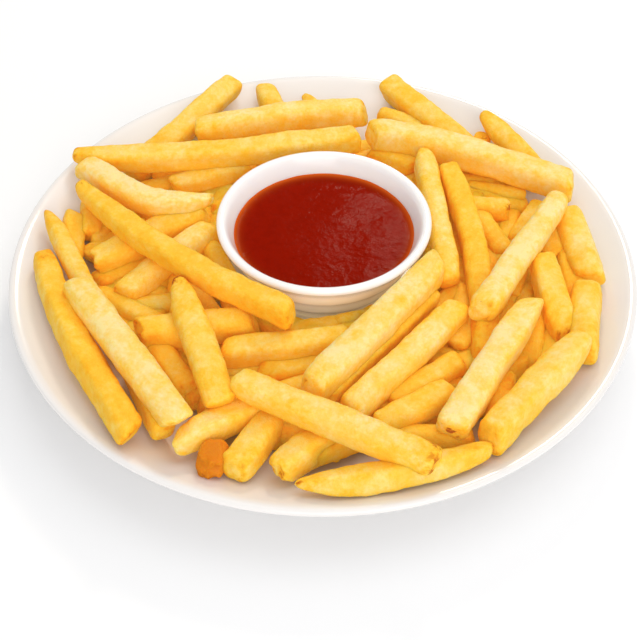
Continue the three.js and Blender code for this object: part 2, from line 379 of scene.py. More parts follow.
GLAZE_CLOUDS = (0.02, 0.3, 0.75)
GLAZE_HAZE = (0.06, 0.25, 0.8)
GLAZE_WAVES = (0.05, 0.2, 0.8)
CLOUDED = 0.965
# Colour and share of a painted glow, an emission, on the ramekin's outside wall
PAINTED_WALL_GLOW = (1.0, 0.78, 0.42)
PAINTED_WALL_GLOW_SHARE = 0.34


def porcelain(name, colour, shine, glow):
    """White glaze with a faint cloudiness and the slight waves of a fired surface."""
    material, tree, shader = principled(name)
    place = surface_place(tree)
    tint = mix_colours(tree, patches(tree, place, *GLAZE_CLOUDS), colour, darker(colour, CLOUDED))
    vary_roughness(tree, shader, patches(tree, place, *GLAZE_HAZE), shine, shine + 0.07)
    fill(shader, {
        "Base Color": tint, "IOR": 1.5, "Coat Weight": 0.1, "Coat Roughness": 0.06,
        "Subsurface Weight": glow, "Subsurface Radius": (1.0, 0.92, 0.82), "Subsurface Scale": 6 * MM})
    add_bump(tree, shader, patches(tree, place, *GLAZE_WAVES), 0.04, 0.1)
    # Painted glow: emission that lightens the shade on the ramekin's outside wall
    if glow > 0:
        paint_glow(tree, shader, read_values(tree, "outside"), PAINTED_WALL_GLOW, PAINTED_WALL_GLOW_SHARE * glow)
    return material


def plate_outline():
    """The plate's section, from the middle underneath to the middle of the well."""
    foot = FOOT_INNER_RADIUS + FOOT_WIDTH
    points = [
        (0.0, FOOT_HEIGHT, 0.0), (FOOT_INNER_RADIUS - 2, FOOT_HEIGHT, 1.0),
        (FOOT_INNER_RADIUS, 0.0, 0.5), (foot, 0.0, 0.6), (foot + 1.5, FOOT_HEIGHT, 1.2),
    ]
    for r in np.arange(UNDERSIDE_FROM, UNDERSIDE_TO, WALL_STEP):
        points.append((r + 1, plate_top(r) - PLATE_WALL, 0.0))
    points += [
        (PLATE_RADIUS - 1.2, PLATE_HEIGHT - LIP_THICKNESS + 0.4, 1.2),
        (PLATE_RADIUS, PLATE_HEIGHT - 1.7, 0.9), (PLATE_RADIUS - 0.5, PLATE_HEIGHT - 0.3, 0.7),
        (PLATE_RADIUS - 1.8, PLATE_HEIGHT, 0.9), (WALL_TOP_RADIUS, WALL_TOP_LEVEL, 0.9),
    ]
    for r in np.arange(WALL_TOP_RADIUS - WALL_STEP, WELL_RADIUS, -WALL_STEP):
        points.append((r, plate_top(r), 0.0))
    points += [(WELL_RADIUS - 2, WELL_LEVEL, 0.0), (0.0, WELL_LEVEL, 0.0)]
    return round_corners(points)


def ramekin_outer(z):
    """The ramekin's slanting outside, before its rings."""
    base = WELL_LEVEL + GAP
    share = (z - base) / (SLANT_TOP - base)
    return RAMEKIN_BASE_RADIUS + (SLANT_TOP_RADIUS - RAMEKIN_BASE_RADIUS) * share


def ramekin_inner(z):
    """The ramekin's curved inside."""
    share = (z - WELL_LEVEL - RAMEKIN_FLOOR) / (KETCHUP_LEVEL - WELL_LEVEL - RAMEKIN_FLOOR)
    return INNER_FLOOR_RADIUS + (KETCHUP_RADIUS + GAP - INNER_FLOOR_RADIUS) * math.sqrt(max(share, 0))


def ramekin_outline():
    """The ramekin's section, from the middle underneath to the middle of its floor."""
    base = WELL_LEVEL + GAP
    floor = WELL_LEVEL + RAMEKIN_FLOOR
    points = [
        (0.0, base + 0.8, 0.0), (RAMEKIN_BASE_RADIUS - 4, base + 0.8, 0.5),
        (RAMEKIN_BASE_RADIUS - 3, base, 0.4), (RAMEKIN_BASE_RADIUS - 0.6, base, 0.5),
        (RAMEKIN_BASE_RADIUS, base + 0.8, 0.5),
    ]
    for level in RING_LEVELS:
        points.append((ramekin_outer(level - 3), level - 3, 0.0))
        points.append((ramekin_outer(level) - RING_STEP / 2, level - 0.4, 0.4))
        points.append((ramekin_outer(level) + RING_STEP / 2, level + 0.3, 0.4))
        points.append((ramekin_outer(level + 2.2) + RING_STEP / 3, level + 2.2, 0.0))
    lip = RAMEKIN_TOP - LIP_ROUNDING
    points.append((RAMEKIN_RADIUS - 0.6, lip - 1.3, 0.8))
    for turn in np.radians(np.linspace(-30, 90, 9)):
        points.append((RAMEKIN_RADIUS - LIP_ROUNDING * (1 - math.cos(turn)),
                       lip + LIP_ROUNDING * math.sin(turn), 0.0))
    points.append((MOUTH_RADIUS + 0.6, RAMEKIN_TOP - 0.15, 0.7))
    points.append((MOUTH_RADIUS - 0.6, RAMEKIN_TOP - 1.6, 1.2))
    for above in (3.0, 0.0):
        r = ramekin_inner(KETCHUP_LEVEL) + above * RAMEKIN_WALL_SLOPE
        points.append((r, KETCHUP_LEVEL + above, 0.0))
    points += [(ramekin_inner(z), z, 0.0) for z in INNER_LEVELS]
    points += [(INNER_FLOOR_RADIUS, floor, 0.0), (0.0, floor, 0.0)]
    return round_corners(points)


def from_axis(vertex):
    """A vertex as its distance from the ramekin's axis, its turn and its height."""
    x = vertex.co.x / MM - RAMEKIN_CENTRE[0]
    y = vertex.co.y / MM - RAMEKIN_CENTRE[1]
    return math.hypot(x, y), math.atan2(y, x), vertex.co.z / MM


def mark_painted_glow(piece):
    """Keeps for each point how much painted glow it gets: only outside, with painted shade where it is
    taken away at the rings and under the lip.
    """
    outside = []
    for vertex in piece.data.vertices:
        r, _, z = from_axis(vertex)
        beyond = r - ramekin_outer(z) + 2
        below_lip = (LIP_SHADE - z) / LIP_SHADE_DEPTH
        at_ring = sum(math.exp(-((z - level) / RING_SHADE) ** 2) for level in RING_LEVELS)
        outside.append(min(max(beyond, 0.0), 1.0) * min(max(below_lip, 0.0), 1.0) * (1 - at_ring))
    set_values(piece, "outside", outside)


# Ketchup

KETCHUP_RINGS = 64
KETCHUP_SIDES = 176
MENISCUS_HEIGHT = 0.75
MENISCUS_WIDTH = 0.7
SAG = 0.45
FILM_WIDTH = 1.5
KETCHUP_INNER_LEVELS = (12.5, 16.0, 22.0, 26.0)
PULP = (0.35, 0.35, 0.75)
SAUCE_SHEEN = (0.12, 0.3, 0.7)
SAUCE_WAVES = (0.14, 0.1, 0.9)
SAUCE_RIPPLES = (0.55, 0.1, 0.9)


def ketchup_surface(r, turn):
    """Height of the ketchup: it climbs the wall, sags a little and keeps small ripples."""
    rim = KETCHUP_RADIUS + GAP
    x, y = r * math.cos(turn), r * math.sin(turn)
    height = KETCHUP_LEVEL - SAG + MENISCUS_HEIGHT * math.exp(-(rim - r) / MENISCUS_WIDTH)
    height += 0.28 * noise.noise(Vector((x / 17, y / 17, 4.1)))
    upper_left = max(0.0, min(1.0, (y - 0.4 * x) / 26))
    height += 0.14 * upper_left * noise.noise(Vector((x / 7, y / 3.2, 8.7)))
    return height + 0.05 * noise.noise(Vector((x / 3.4, y / 2.8, 2.3)))


def make_ketchup_mesh():
    """The ketchup as a closed body, from the ramekin's floor to its uneven surface."""
    base = WELL_LEVEL + RAMEKIN_FLOOR + GAP
    outline = [(0.0, base)]
    for z in (base, *KETCHUP_INNER_LEVELS):
        outline.append((max(ramekin_inner(z) - GAP, INNER_FLOOR_RADIUS - GAP), z))
    rim = KETCHUP_RADIUS + GAP + 0.1
    radii = [rim * (1 - (i / KETCHUP_RINGS) ** 1.6) for i in range(KETCHUP_RINGS)]
    outline += [(r, KETCHUP_LEVEL) for r in radii]
    outline.append((0.0, KETCHUP_LEVEL))
    piece = spin("ketchup_sauce", outline, KETCHUP_SIDES, RAMEKIN_CENTRE)
    film = []
    for vertex in piece.data.vertices:
        r, turn, z = from_axis(vertex)
        if z > KETCHUP_LEVEL - 1e-3:
            vertex.co.z = ketchup_surface(r, turn) * MM
        film.append(math.exp(-max(0.0, rim - r) / FILM_WIDTH))
    set_values(piece, "film", film)
    return piece


def ketchup_material(colour, film_colour):
    """Glossy tomato red, orange where it thins out against the wall."""
    material, tree, shader = principled("ketchup_sauce")
    place = surface_place(tree)
    pulp = math_node(tree, "MULTIPLY", patches(tree, place, *PULP), 0.35)
    body = mix_colours(tree, pulp, colour, darker(colour, 0.72))
    rim = math_node(tree, "POWER", read_values(tree, "film"), 1.4)
    colour = mix_colours(tree, rim, body, film_colour)
    fill(shader, {"Base Color": colour, "Specular IOR Level": 0.013, "IOR": 1.42})
    vary_roughness(tree, shader, patches(tree, place, *SAUCE_SHEEN), 0.1, 0.18)
    waves = patches(tree, place, *SAUCE_WAVES)
    ripples = patches(tree, place, *SAUCE_RIPPLES)
    add_bump(tree, shader, weigh(tree, (waves, 1.0), (ripples, 0.3)), 0.3, 0.5)
    return material


# Fries

@dataclass
class Fry:
    """A fry from the middle of one end to the middle of the other, and how it looks.

    What is left is the share of the thickness at an end, and a peak is the share of the length
    where a bow is the widest. A cut is how far an end leans to the left and to the top. A spot
    is its share of the length, its place across and up from -1 to 1, its radius and how brown
    it is.
    """
    start: tuple
    end: tuple
    thick: float
    bow: float = 0.0
    peak: float = 0.5
    start_left: float = 1.0
    end_left: float = 1.0
    tone: float = 0.0
    start_cut: tuple = None
    end_cut: tuple = None
    point: tuple = (0.0, 0.0)
    ragged: tuple = (0.5, 0.5)
    spots: list = field(default_factory=list)

    @property
    def length(self):
        return math.hypot(self.end[0] - self.start[0], self.end[1] - self.start[1])


BACK_LEFT = [
    Fry((-41, 104.5, 27), (-82, 49, 17), 11, tone=0.1, spots=[(0.05, 0.9, 0.6, 1.3, 1.4)]),
    Fry((-27, 106, 24.5), (-16, 74, 17), 11, start_left=0.8, tone=0.2),
    Fry((-9, 106.5, 21), (6, 82, 16), 7, start_left=0.4, tone=0.7),
    Fry((-55, 68.5, 29), (19, 87, 26), 12, bow=2, start_left=0.85, tone=-0.4),
    Fry((-105, 50.5, 30), (15, 62, 30), 10.5, bow=-6, peak=0.4, start_left=0.55, tone=0.2),
    Fry((-100, 42.5, 30), (-43.5, 20.5, 31), 10, bow=-10, peak=0.62, end_left=0.4, tone=-1.1,
        ragged=(0.6, 2.2)),
    Fry((-32, 52.5, 22), (-62.5, 39.5, 21.5), 9.5, tone=-0.2),
    Fry((-72, 53, 17), (-50, 48, 16.5), 9, tone=0.6),
]
LEFT = [
    Fry((-98, 27.5, 31), (-11, -45.5, 33), 10, bow=-4.5, start_left=0.6, tone=0.9,
        spots=[(0.02, 0, 0.5, 3.0, 0.6)]),
    Fry((-87, -8.5, 21), (-47.5, 21.5, 24), 12, tone=0.2, ragged=(1.8, 0.5)),
    Fry((-75, -24.5, 21), (-44, 11.5, 23), 11, tone=-0.5),
    Fry((-101, 21, 20.5), (-98, -4, 19.5), 9, tone=0.5),
    Fry((-96, 31, 18), (-93, 10, 17), 9, tone=0.5),
    Fry((-95, 32, 21), (-77, 15, 20), 9, tone=0.6),
    Fry((-93, 0.5, 16.5), (-67, 23, 15), 9, tone=0.6),
    Fry((-110, 17, 27), (-86, -27, 25), 7.5, start_left=0.3, tone=0.3),
    Fry((-108, -6, 25), (-61, -92.5, 27), 9.8, bow=-3, start_left=0.8, tone=0.8, end_cut=(-0.55, 0.25),
        spots=[(0.06, 0, 1, 2.6, 0.9)]),
    Fry((-90, -28, 31), (-46, -89.5, 30), 11.3, tone=-0.7, end_cut=(0.15, 0.75)),
    Fry((-88, -15, 17), (-65, -1.5, 16), 9, tone=0.5),
    Fry((-83, -29, 16.5), (-64, -47, 16), 9, tone=0.5),
]
FRONT_LEFT = [
    Fry((-69, -53, 20), (-51.5, -89, 23), 9, tone=0.5),
    Fry((-60, -47, 19), (-46, -68, 18), 9, tone=0.5),
    Fry((-65.5, -45.5, 23), (-24.5, -39.5, 23), 12, tone=0.25, ragged=(2.4, 0.5)),
    Fry((-36, -54, 22), (10, -47.5, 22), 11, tone=0.1),
    Fry((-14.5, -40, 17.5), (12.5, -34.5, 17), 8, tone=0.7),
    Fry((-23, -60, 18), (8.5, -53.5, 18), 9, tone=0.5),
    Fry((-53.5, -25, 31), (-33, -81, 28), 11.6, start_left=0.35, tone=0.3, end_cut=(0, 0.5),
        spots=[(0.03, 0, 0.5, 5.0, 1.0), (0.36, 0.9, 0.8, 1.1, 2.4), (0.72, 1, 0.6, 1.1, 2.4)]),
    Fry((-47, -94, 24.5), (-21, -77, 22.5), 9.5, tone=-0.6, start_cut=(-0.9, 0.3), point=(0.25, 0.0)),
    Fry((-34, -94, 19), (-36, -103.5, 21.5), 9, tone=3.4, ragged=(1.5, 2.4)),
    Fry((-15.5, -80.5, 20.5), (-28, -104.5, 24), 11, tone=0.0),
    Fry((2.5, -87, 20.5), (-14, -104.5, 24), 10.5, tone=-0.2, ragged=(0.5, 1.6),
        spots=[(1, 0.3, 0, 1.6, 1.2)]),
    Fry((-5, -96.5, 20), (18, -82.5, 15.5), 8, tone=0.8),
    Fry((-8, -109.5, 24.5), (54.5, -96, 25), 8.5, bow=-3, start_left=0.3, end_left=0.55, tone=0.1),
    Fry((-28, -74.5, 32), (35.5, -106, 31), 10.3, tone=-0.1, end_cut=(0.1, 0.1),
        spots=[(1, 0.8, 0.8, 3.0, 0.35), (1, -0.9, 0.9, 2.8, 0.35), (0.97, 0, 0.2, 9.0, 0.6)]),
]
FRONT_RIGHT = [
    Fry((43, -17.5, 31), (-4, -76, 29), 11.2, tone=-0.7, start_cut=(-0.6, 0.2)),
    Fry((42.5, -26, 25), (1, -75, 24), 6, tone=0.2),
    Fry((50, -34, 26), (9, -82, 24), 10.6, tone=-0.4),
    Fry((49.5, -55, 20), (23, -73, 19), 9.5, tone=0.1),
    Fry((45, -69.5, 21), (18.5, -85.5, 22), 10.2, tone=0.1),
    Fry((75, -35.5, 29), (41.5, -91, 27.5), 11, start_left=0.85, tone=-0.9, start_cut=(0.7, 0.1),
        spots=[(1, 0, 0.1, 1.5, 4.6), (0.99, 0.5, -0.4, 1.0, 1.2)]),
    Fry((90.5, -52.5, 28.5), (53.5, -93.5, 26), 11.5, start_left=0.8, tone=-0.1),
    Fry((55, -17, 17), (48, -42, 17), 9, tone=0.5),
    Fry((78.5, -32.5, 20), (73, -57.5, 18), 9.5, tone=0.4),
    Fry((70, -21.5, 16), (63, -44.5, 16), 9, tone=0.5),
    Fry((77, -6, 17), (71, -21, 17), 8, tone=0.5),
]
RIGHT = [
    Fry((42, 53.5, 30.5), (48, -20, 24), 9.5, tone=-0.1, point=(0.6, 0.0)),
    Fry((52, 41, 30), (57.5, -56, 21), 9.5, bow=4, tone=0.9,
        spots=[(0.7, 0.2, 1, 6.0, 0.9), (0.84, -0.3, 1, 6.0, 1.1), (0.76, 0.9, 0.5, 2.0, 1.2)]),
    Fry((93.5, 19, 32), (56.5, -41, 31), 10.2, start_left=0.9, tone=-0.9),
    Fry((76, 25, 21), (51.5, 29.5, 20), 9, tone=0.4, ragged=(1.8, 0.5),
        spots=[(0.02, 0.3, 0.6, 1.6, 3.2)]),
    Fry((90, 29, 21), (77, 9, 18), 9, tone=0.3),
    Fry((73, 11, 16), (63, -4.5, 15), 9, tone=0.5),
    Fry((91, 21, 19), (92, -1.5, 19.5), 9, tone=0.5),
    Fry((99, 19.5, 23), (101, -17.5, 22.5), 11.8, tone=-0.3),
    Fry((83.5, -10, 26), (86, -48, 24.5), 11, end_left=0.6, tone=0.2),
    Fry((98.5, -23, 24.5), (91, -56, 25), 10.8, tone=0.3),
]
BACK_RIGHT = [
    Fry((20, 63.5, 30.5), (102, 32, 28), 12, bow=5, peak=0.35, tone=-0.5),
    Fry((20.5, 63.5, 21.5), (40, 52, 21.5), 9, tone=0.5),
    Fry((25, 90.5, 22), (44, 81, 20.5), 8.5, tone=0.3),
    Fry((30, 107, 26.5), (66, 63, 19.5), 11, tone=0.4),
    Fry((71, 82, 25.5), (92, 47, 20), 10, start_left=0.5, tone=0.35),
    Fry((71.5, 75, 20.5), (62, 56, 16), 8, tone=0.5, spots=[(0.2, 0.3, 1, 2.0, 1.2)]),
]


def seeded(seed):
    """A steady run of numbers from 0 to 1."""
    state = seed
    while True:
        state = (state * 1664525 + 1013904223) % 4294967296
        yield state / 4294967296


@dataclass
class Layer:
    """Fries laid round a middle by a seeded rule, each turned away from the ring's own way."""
    count: int
    seed: int
    thick: float
    levels: tuple
    lengths: tuple
    wander: float
    inner: float
    outer: float
    out: tuple = (60.0, 80.0)
    middle: tuple = (0.0, 0.0)


# Hidden fries get a deeper base tone than most that show, as painted shade where they lie under the heap,
# and a tone that changes from fry to fry
HIDDEN_TONE = 0.6
HIDDEN_CHANGE = 0.4

# The heap's filler as in its solid, a bed that lies on the plate, and a collar round the ramekin
FILLER = Layer(
    count=26, seed=41, thick=9.0, levels=(14.5, 17.0), lengths=(34.0, 56.0), wander=2.2,
    inner=42.0, outer=88.0)
BED = Layer(
    count=120, seed=7, thick=9.0, levels=(12.2, 15.0), lengths=(28.0, 50.0), wander=6.2,
    inner=38.0, outer=93.0)
COLLAR = Layer(
    count=20, seed=23, thick=8.5, levels=(15.5, 18.5), lengths=(22.0, 30.0), wander=0.9,
    inner=39.0, outer=62.0, out=(42.0, 45.0), middle=RAMEKIN_CENTRE)

# Fries pushed in one by one where the photo shows that something is beneath
TUCKED_IN = [Fry(start, end, thick, tone=tone) for start, end, thick, tone in (
    ((12, -85, 17), (50, -89, 19), 7.5, 0.6),
    ((58, -62, 17), (84, -46, 19), 8, 0.6),
    ((-31, -27, 19.5), (-45, 6, 19.5), 8.5, 0.6),
    ((-53, -12, 17), (-37, -37, 17), 8.5, 0.8),
    ((-28, -34, 17), (-6, -38, 17), 8, 0.4),
    ((-36, 33, 18), (-47, 6, 18), 8.5, 0.6),
    ((38, -22, 18.5), (46, 4, 18), 8.5, 0.8),
    ((47, 8, 17), (58, -18, 17), 8.5, 0.6),
    ((96, 2, 20), (95, -32, 20), 8.5, 0.6),
    ((86, -36, 18), (76, -62, 18), 8.5, 0.6),
    ((64, -60, 17), (58, -84, 18), 8.5, 0.7),
    ((60, 44, 17), (84, 36, 19), 8.5, 0.6),
    ((-92, 22, 18), (-84, -4, 17), 8.5, 0.6),
    ((-14, -84, 17), (6, -92, 18), 8.5, 0.8),
    ((39, -31, 17), (55, -13, 17), 8.5, 0.8),
    ((26, -39, 17), (43, -30, 17), 8.5, 0.8),
    ((-101, 13, 20), (-84, 20, 18), 8, 0.6),
    ((-92, -38, 19), (-69, -78, 20), 8, 0.8),
    ((61, 31, 18.5), (72, 1, 18), 9.5, 0.4),
    ((48, -47, 18), (66, -24, 18), 9.5, 0.3),
    ((-85, -21, 17.5), (-58, -39, 18), 9.5, 0.4),
    ((-76, 30, 17.5), (-58, 12, 17.5), 9.5, 0.4),
)]


def between(ends, share):
    """The value at a share of the way from one end to the other."""
    return ends[0] + (ends[1] - ends[0]) * share


def lay_round(layer):
    """The fries of a layer that fit between the ramekin and the layer's outer edge."""
    draw = seeded(layer.seed)
    laid = []
    for i in range(layer.count):
        around = 2 * math.pi * (i + next(draw)) / layer.count
        out = between(layer.out, next(draw))
        turn = around + math.pi / 2 + (next(draw) - 0.5) * layer.wander
        half = between(layer.lengths, next(draw)) / 2
        level = between(layer.levels, next(draw))
        x = layer.middle[0] + out * math.cos(around)
        y = layer.middle[1] + out * math.sin(around)
        fits = True
        for d in (-1, -0.5, 0, 0.5, 1):
            px, py = x + d * half * math.cos(turn), y + d * half * math.sin(turn)
            inside = math.hypot(px - RAMEKIN_CENTRE[0], py - RAMEKIN_CENTRE[1]) > layer.inner
            fits = fits and inside and math.hypot(px, py) < layer.outer
        if fits:
            ends = [(x + d * math.cos(turn), y + d * math.sin(turn), level) for d in (-half, half)]
            laid.append(Fry(*ends, layer.thick, tone=HIDDEN_TONE + HIDDEN_CHANGE * math.sin(7.3 * i)))
    return laid


def middle_line(fry, t):
    """The middle line of a fry at shares of its length."""
    (x1, y1, z1), (x2, y2, z2) = fry.start, fry.end
    side = fry.bow * np.sin(np.pi * t ** (math.log(0.5) / math.log(fry.peak)))
    x = x1 + (x2 - x1) * t - (y2 - y1) / fry.length * side
    y = y1 + (y2 - y1) * t + (x2 - x1) / fry.length * side
    return np.stack([x, y, z1 + (z2 - z1) * t], -1)


def lie_over(fry):
    """A fry on the plate's wall lies over with it. The turn is in radians."""
    turn = total = nearest = 0.0
    for x, y, z in middle_line(fry, np.array([0.03, 0.5, 0.97])):
        r = math.hypot(x, y)
        above = z - plate_top(min(r, WALL_TOP_RADIUS - 3))
        near = min(1.0, max(0.0, (NEAR_WALL - above) / NEAR_WALL_FADE))
        dx, dy = fry.end[0] - fry.start[0], fry.end[1] - fry.start[1]
        across = (-dy * x + dx * y) / r / math.hypot(dx, dy)
        turn += near * math.atan(plate_slope(r) * across)
        total += near
        nearest = max(nearest, near)
    return turn / total * nearest if total > 0 else 0.0


def taper(fry, t):
    """How much of the thickness is left at shares of the length."""
    from_start = np.minimum(1, t / TAPER_SHARE)
    from_end = np.minimum(1, (1 - t) / TAPER_SHARE)
    start = fry.start_left + (1 - fry.start_left) * from_start * (2 - from_start)
    end = fry.end_left + (1 - fry.end_left) * from_end * (2 - from_end)
    return start * end


def travel(fry, t):
    """The level way a fry runs at shares of its length, as steps of one."""
    ahead = middle_line(fry, np.minimum(1, t + 0.01))
    behind = middle_line(fry, np.maximum(0, t - 0.01))
    way = (ahead - behind)[:, :2]
    return way / np.linalg.norm(way, axis=1)[:, None]


def place_section(fry, t, a, b, roll):
    """Points of a fry's sections: a is to the left of its way and b is up."""
    way = travel(fry, t)
    sideways = a * np.cos(roll) - b * np.sin(roll)
    up = a * np.sin(roll) + b * np.cos(roll)
    points = np.repeat(middle_line(fry, t)[:, None, :], a.shape[1], axis=1)
    points[..., 0] -= way[:, 1:2] * sideways
    points[..., 1] += way[:, 0:1] * sideways
    points[..., 2] += up
    return points


def lift_clear(fry):
    """How far a fry rises to lie clear of the plate, as its solid does."""
    chamfer = FRY_END_CHAMFER / fry.length
    stops = {0.0, chamfer, 1 - chamfer, 1.0}
    if fry.start_left < 1:
        stops.add(TAPER_SHARE)
    if fry.end_left < 1:
        stops.add(1 - TAPER_SHARE)
    if fry.bow:
        stops.update(BOW_STOPS)
    t = np.array(sorted(stops))
    ends = np.where(np.minimum(t, 1 - t) < 1e-6, FRY_END_SIZE, 1.0) * taper(fry, t)
    half, cut = fry.thick / 2, fry.thick / 2 * FRY_CORNER
    a = np.array([half, half, cut, -cut, -half, -half, -cut, cut])
    b = np.array([-cut, cut, half, half, cut, -cut, -half, -half])
    points = place_section(fry, t, ends[:, None] * a, ends[:, None] * b, lie_over(fry))
    lift = 0.0
    for first, second in zip(points, points[1:]):
        for share in np.linspace(0, 1, 9):
            for x, y, z in first * (1 - share) + second * share:
                lift = max(lift, plate_top(math.hypot(x, y)) + PLATE_GAP - z)
    return lift


def smooth_noise(seed, x, y, z, size):
    """Even noise over places in millimetres, from -1 to 1."""
    flat = [np.ravel(v) / size + seed * 17.3 + i * 5.1 for i, v in enumerate((x, y, z))]
    values = [noise.noise(Vector(p)) for p in zip(*flat)]
    return np.array(values).reshape(np.shape(x))


SQUARENESS = 3.6
SQUARENESS_CHANGE = 0.7
THICKNESS_CHANGE = 0.1
LEAST_AT_END = 0.35
END_ROUNDING = 2.3
END_STOPS = (0.0, 0.3, 0.8, 1.5)
MIDDLE_STOPS_FROM = 2.6
BLISTER_FROM = 0.28
MOST_TWIST = 0.16
MOST_SWAY = 0.7
SLANT_REACH = 12
TORN_REACH = 5
CAP_RINGS = (0.8, 0.5, 0.22)
CAP_DEPTH = 0.5
CAP_DENTS = 0.35
CAP_SKIN = 4


def noise_along(seed, along, size):
    """Even noise that changes only along a fry."""
    return smooth_noise(seed, along, along * 0, along * 0, size)


def fry_stops(length, step):
    """Distances of the rings from the start, closer together at the two ends."""
    ends = np.array(END_STOPS)
    count = max(2, round((length - 2 * MIDDLE_STOPS_FROM) / step) + 1)
    inner = np.linspace(MIDDLE_STOPS_FROM, length - MIDDLE_STOPS_FROM, count)
    return np.concatenate([ends, inner, (length - ends)[::-1]])


def fry_sections(fry, seed, along, sides):
    """Squarish outlines of a fry's sections, and the share of its size that each has."""
    half = fry.thick / 2
    phase = np.linspace(0, 2 * math.pi, sides, endpoint=False) + math.pi / sides
    c, s = np.cos(phase), np.sin(phase)
    square = SQUARENESS + SQUARENESS_CHANGE * math.sin(seed * 2.7)
    reach = (np.abs(c) ** square + np.abs(s) ** square) ** (-1 / square)
    wide = 1 + THICKNESS_CHANGE * noise_along(seed, along, 21)
    tall = 1 + THICKNESS_CHANGE * noise_along(seed + 0.5, along, 17)
    size = taper(fry, along / fry.length) * half
    to_end = fry.length - along
    rounded = np.maximum(0, END_ROUNDING - np.minimum(along, to_end))
    inset = END_ROUNDING - np.sqrt(np.maximum(0, END_ROUNDING ** 2 - rounded ** 2))
    size = np.maximum(size - inset * np.minimum(1, size / half), LEAST_AT_END * size)
    for point, near, turn in ((fry.point[0], along, 1.9), (fry.point[1], to_end, 4.7)):
        size *= 1 - (0.07 + 0.06 * math.sin(seed * turn)) * np.exp(-near / 7)
        size *= 1 - point * np.clip(1 - near / 9, 0, 1) ** 1.4
    a = (size * wide)[:, None] * (reach * c)[None, :]
    b = (size * tall)[:, None] * (reach * s)[None, :]
    return a, b, np.minimum(1, size / half)[:, None]


def fried_relief(seed, along, a, b):
    """Waves and blisters in the fried skin, in millimetres, and the blisters by themselves."""
    grid = np.repeat(along[:, None], a.shape[1], axis=1)
    relief = 0.36 * smooth_noise(seed, grid, a * 1.3, b * 1.3, 8.5)
    relief += 0.3 * smooth_noise(seed + 3, grid, a, b, 3.9)
    blister = np.maximum(0, smooth_noise(seed + 6, grid, a, b, 5.0) - BLISTER_FROM)
    relief += 0.4 * blister
    relief += 0.2 * smooth_noise(seed + 9, grid, a, b, 2.1)
    return relief, blister


def cut_ends(fry, seed, points, along, a, b):
    """Gives the two ends slanting, uneven cuts."""
    way = travel(fry, along / fry.length)
    start = (-1, fry.start_cut, fry.ragged[0], along)
    end = (1, fry.end_cut, fry.ragged[1], fry.length - along)
    for sign, cut, ragged, near in (start, end):
        lean, tilt = cut or (0.3 * math.sin(seed * 3.1 + sign), 0.35 * math.sin(seed * 5.3 + sign * 2))
        slanted = np.clip(1 - near / SLANT_REACH, 0, 1)[:, None]
        torn = np.clip(1 - near / TORN_REACH, 0, 1)[:, None]
        slide = sign * (lean * a + tilt * b) * slanted
        slide += ragged * torn * smooth_noise(seed + 30 + sign, a, b, a * 0, 2.8)
        points[..., 0] += way[:, 0:1] * slide
        points[..., 1] += way[:, 1:2] * slide


def browned_skin(fry, along, a, b, blister):
    """How brown the skin is: its long edges, the edges of its cuts, thin tips and blisters."""
    to_end = along[-1] - along
    to_cut = np.minimum(along, to_end)
    corner = np.abs(np.sin(2 * np.arctan2(b, a)))
    edges = 0.4 * np.exp(-to_cut / 1.6) + 0.35 * np.exp(-to_cut / 7)
    tips = np.exp(-along / 9) * (1 - fry.start_left) + np.exp(-to_end / 9) * (1 - fry.end_left)
    return 0.24 * corner ** 4 + (edges + 0.9 * tips)[:, None] + 0.9 * blister


def add_spots(fry, vertices, brown):
    """The browning with the fry's own spots added."""
    for t, across, up, radius, depth in fry.spots:
        t = np.array([t])
        half = fry.thick / 2 * taper(fry, t)[0]
        a, b = np.array([[across * half]]), np.array([[up * half]])
        spot = place_section(fry, t, a, b, lie_over(fry))[0, 0]
        away = np.linalg.norm(vertices - spot, axis=1)
        brown = brown + depth * np.exp(-(away / radius) ** 2)
    return brown


def close_end(seed, end, inward, points, places, count):
    """Smaller rings and a middle point that close an end: points, places, browning and faces.

    Inward is 1 at the start and -1 at the other end, and the count is of the points so far.
    """
    sides = points.shape[1]
    centre = points[end].mean(0)
    way = points[end + inward * 2].mean(0) - centre
    way /= np.linalg.norm(way)
    closing, placed, brown, faces = [], [], [], []
    before = end * sides
    for share in CAP_RINGS:
        spread = centre + (points[end] - centre) * share
        dent = CAP_DENTS * smooth_noise(seed + 20 + end, *spread.T, 2.6)
        closing.append(spread - way * ((1 - share) * CAP_DEPTH + dent[:, None]))
        placed.append(places[end] * (1, share, share) - (inward * (1 - share) * CAP_SKIN, 0, 0))
        brown.append(np.full(sides, 0.45 * share))
        faces += ring_faces(count, before, sides) if inward > 0 else ring_faces(before, count, sides)
        before = count
        count += sides
    closing.append((centre - way * CAP_DEPTH)[None, :])
    placed.append(places[end, :1] * (1, 0, 0) - (inward * CAP_SKIN, 0, 0))
    brown.append(np.array([0.1]))
    for k in range(sides):
        after = (k + 1) % sides
        edge = (before + after, before + k) if inward > 0 else (before + k, before + after)
        faces.append((count, *edge))
    return np.vstack(closing), np.vstack(placed), np.concatenate(brown), faces


